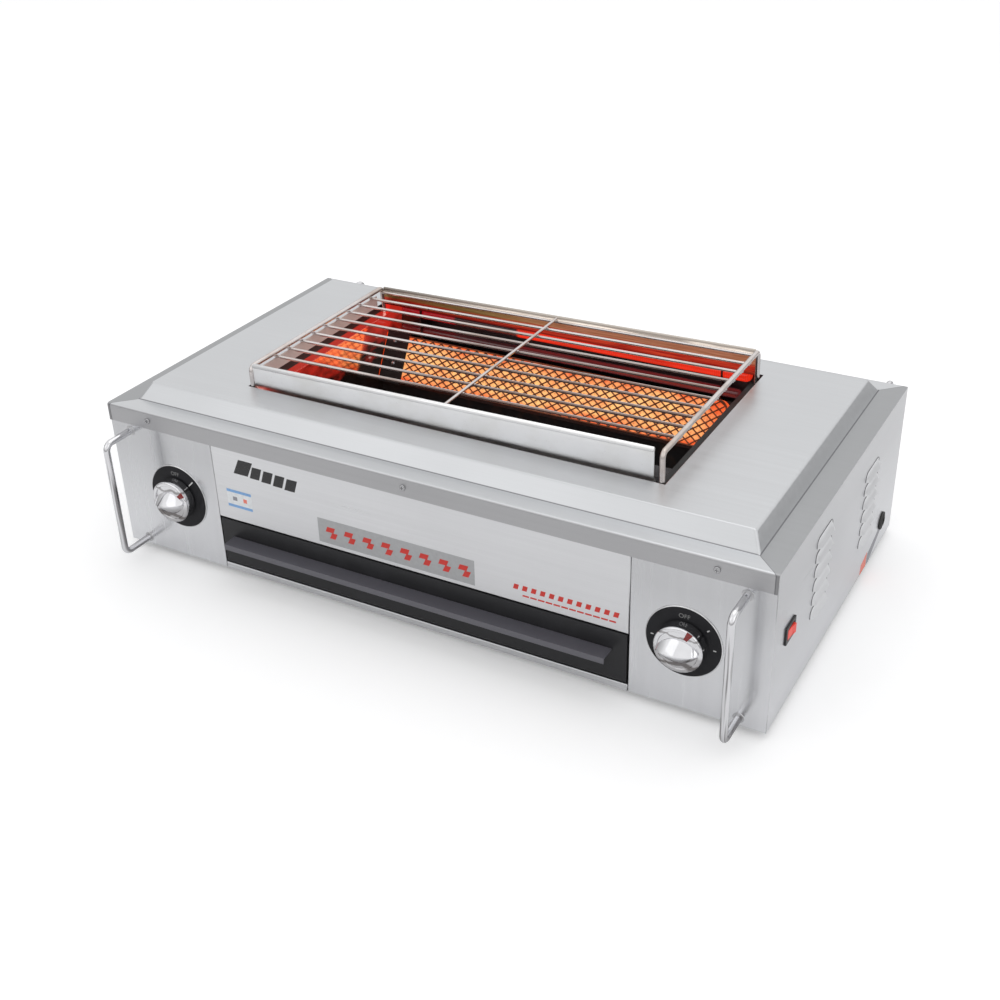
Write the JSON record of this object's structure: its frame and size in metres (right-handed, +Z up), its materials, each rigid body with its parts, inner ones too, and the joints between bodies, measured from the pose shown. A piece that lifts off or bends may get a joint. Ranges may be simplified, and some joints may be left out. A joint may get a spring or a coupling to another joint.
{
  "type": "electric fish roaster",
  "caption": "Low stainless counter-top electric roaster with a raised deck, a wire rack over a glowing radiant panel, a black drip drawer, rotary dials and wire handles.",
  "frame": {"origin": "on the standing surface under the middle of the body", "axes": "+X to the right along the width, +Y to the back, +Z up; the control face looks along -Y"},
  "size_m": [0.8291, 0.538, 0.2503],
  "materials": {
    "brushed_body": "fine horizontal brushing",
    "brushed_cover": "fine brushing along the width",
    "galvanised_sheet": "dull zinc",
    "black_enamel": "heat-resistant black",
    "glowing_ceramic": "glowing orange ceramic",
    "guard_mesh": "heat-tinted mesh",
    "reflector_sheet": "polished, heat-tinted",
    "quartz_glow": "glowing red quartz",
    "moulded_case": "moulded",
    "switch_black": "moulded",
    "switch_red": "moulded, translucent",
    "dial_black": "satin black with plain markings",
    "chrome_plate": "polished",
    "shaft_steel": "turned",
    "gland_rubber": "moulded",
    "screw_steel": "nickel plated",
    "foot_rubber": "moulded",
    "tray_steel": "mill finish",
    "drawer_black": "gloss black",
    "rack_wire": "electropolished wire"
  },
  "bodies": {
    "housing": {"base_pan": "galvanised_sheet", "side_panel_left": "brushed_body", "side_panel_right": "brushed_body", "rear_panel": "brushed_body", "front_apron": "brushed_body", "bottom_rail": "brushed_body", "top_cover": "brushed_cover", "control_panel_left": "brushed_body", "control_panel_right": "brushed_body", "bulkhead_left": "black_enamel", "bulkhead_right": "black_enamel", "liner_front": "black_enamel", "liner_rear": "black_enamel", "drip_shield": "black_enamel", "rack_seat_left": "galvanised_sheet", "rack_seat_right": "galvanised_sheet", "drawer_rail_left": "galvanised_sheet", "drawer_rail_right": "galvanised_sheet", "ceramic_panel": "glowing_ceramic", "mesh_guard": "guard_mesh", "heater_strap": "black_enamel", "heater_channel": "black_enamel", "reflector": "reflector_sheet", "quartz_tube_upper": "quartz_glow", "quartz_tube_lower": "quartz_glow", "terminal_block": "moulded_case", "switch_housing": "switch_black", "regulator_left": "moulded_case", "regulator_right": "moulded_case", "dial_plate_left": "dial_black", "dial_plate_right": "dial_black", "handle_front_left": "chrome_plate", "handle_front_right": "chrome_plate", "handle_rear_left": "chrome_plate", "handle_rear_right": "chrome_plate", "cable_gland": "gland_rubber", "lip_screw_1": "screw_steel", "lip_screw_2": "screw_steel", "lip_screw_3": "screw_steel", "foot_front_left": "foot_rubber", "foot_front_right": "foot_rubber", "foot_rear_left": "foot_rubber", "foot_rear_right": "foot_rubber"},
    "drawer": {"drawer_tray": "tray_steel", "drawer_front": "drawer_black", "drawer_pull": "drawer_black"},
    "left_knob": {"knob_left": "chrome_plate", "knob_shaft_left": "shaft_steel"},
    "right_knob": {"knob_right": "chrome_plate", "knob_shaft_right": "shaft_steel"},
    "switch_rocker": {"rocker": "switch_red"},
    "rack": {"rack_grid": "rack_wire", "rack_strip_front": "rack_wire", "rack_strip_back": "rack_wire", "rack_strip_left": "rack_wire"}
  },
  "joints": [
    {"name": "drawer_slide", "type": "slide", "parent": "housing", "child": "drawer", "axis": [0, -1, 0], "range_m": [0, 0.3]},
    {"name": "left_knob_turn", "type": "hinge", "parent": "housing", "child": "left_knob", "pos_m": [-0.32, -0.226, 0.091], "axis": [0, 1, 0], "range_deg": [-55, 215]},
    {"name": "right_knob_turn", "type": "hinge", "parent": "housing", "child": "right_knob", "pos_m": [0.32, -0.226, 0.091], "axis": [0, 1, 0], "range_deg": [-28, 242]},
    {"name": "rocker_tip", "type": "hinge", "parent": "housing", "child": "switch_rocker", "pos_m": [0.406, -0.175, 0.103], "axis": [0, 0, 1], "range_deg": [0, 16]},
    {"name": "rack_lift", "type": "slide", "parent": "housing", "child": "rack", "axis": [0, 0, 1], "range_m": [0, 0.12]}
  ]
}
